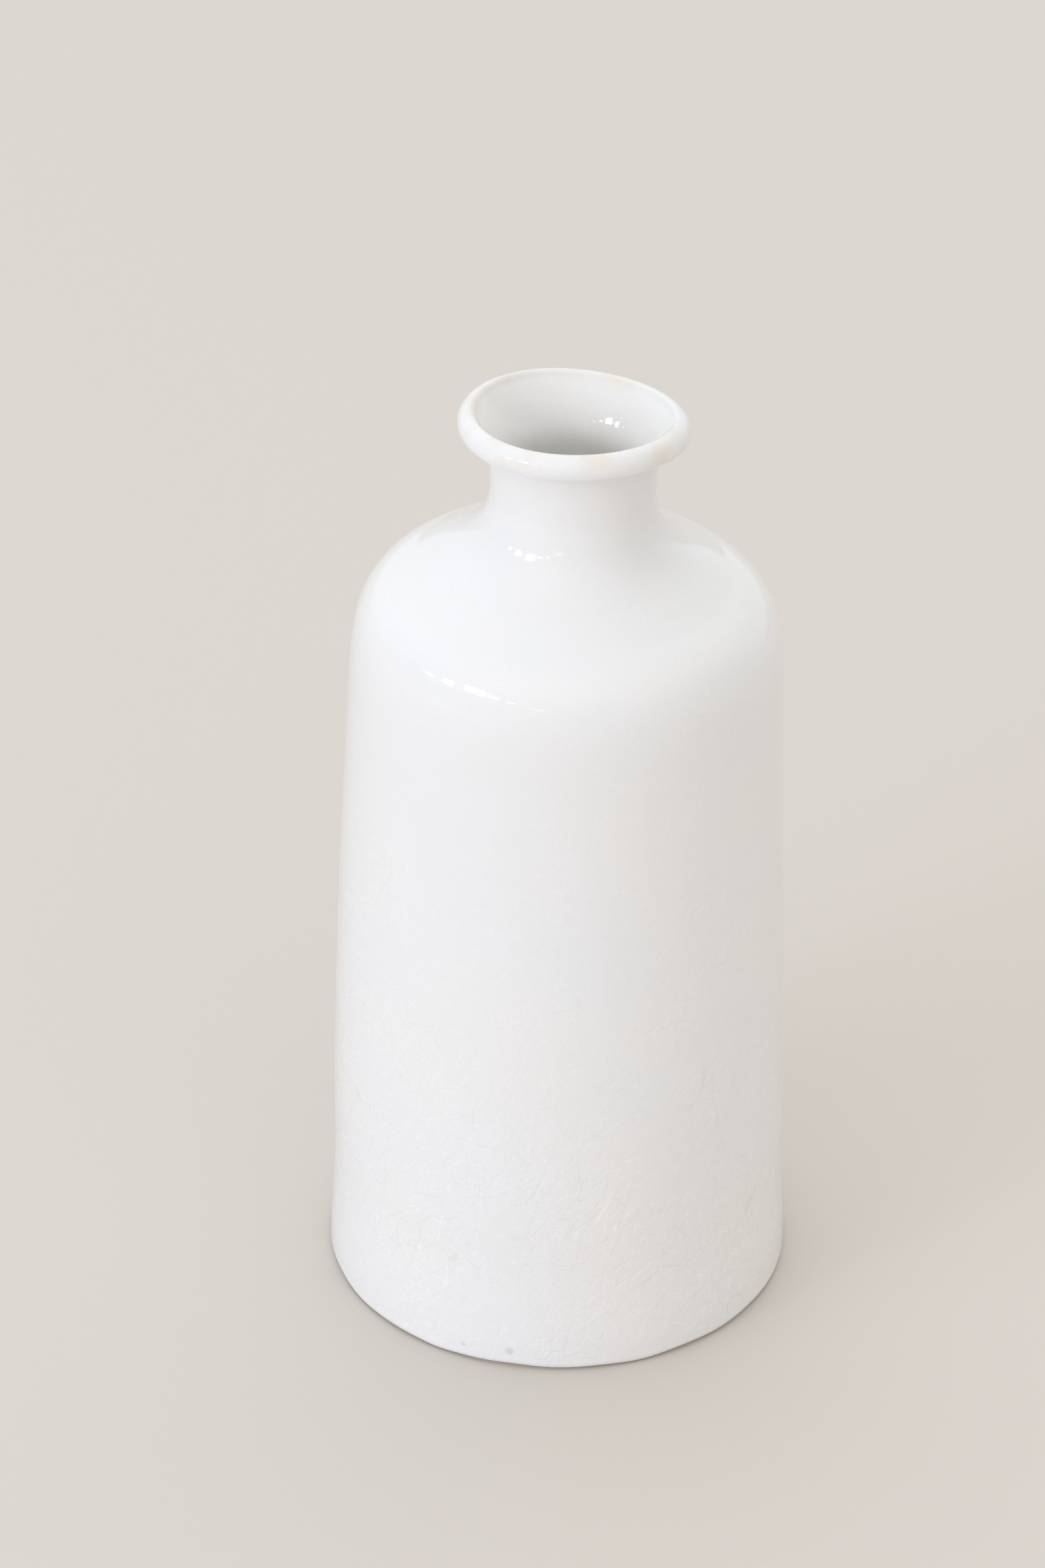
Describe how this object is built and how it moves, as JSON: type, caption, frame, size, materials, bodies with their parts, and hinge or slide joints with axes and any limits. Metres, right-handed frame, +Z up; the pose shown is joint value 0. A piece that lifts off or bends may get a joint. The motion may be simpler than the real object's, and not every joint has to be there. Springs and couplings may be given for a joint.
{
  "type": "bud vase",
  "caption": "Bottle-shaped ceramic bud vase with a tapering body, rounded shoulder, short neck and thick rolled lip, white crackle glaze over clay.",
  "frame": {"origin": "centre of the foot ring, on the plane the vase stands on", "axes": "+Z up along the axis of the body; +X towards the side the neck leans to"},
  "size_m": [0.0844, 0.0844, 0.1737],
  "materials": {
    "bare_clay": "bare fired clay, matte, off-white",
    "outer_glaze": "gloss white glaze with a fine crackle",
    "liner_glaze": "gloss warm white glaze"
  },
  "bodies": {
    "root": {"clay_body": "bare_clay", "outer_glaze": "outer_glaze", "liner_glaze": "liner_glaze"}
  },
  "joints": []
}
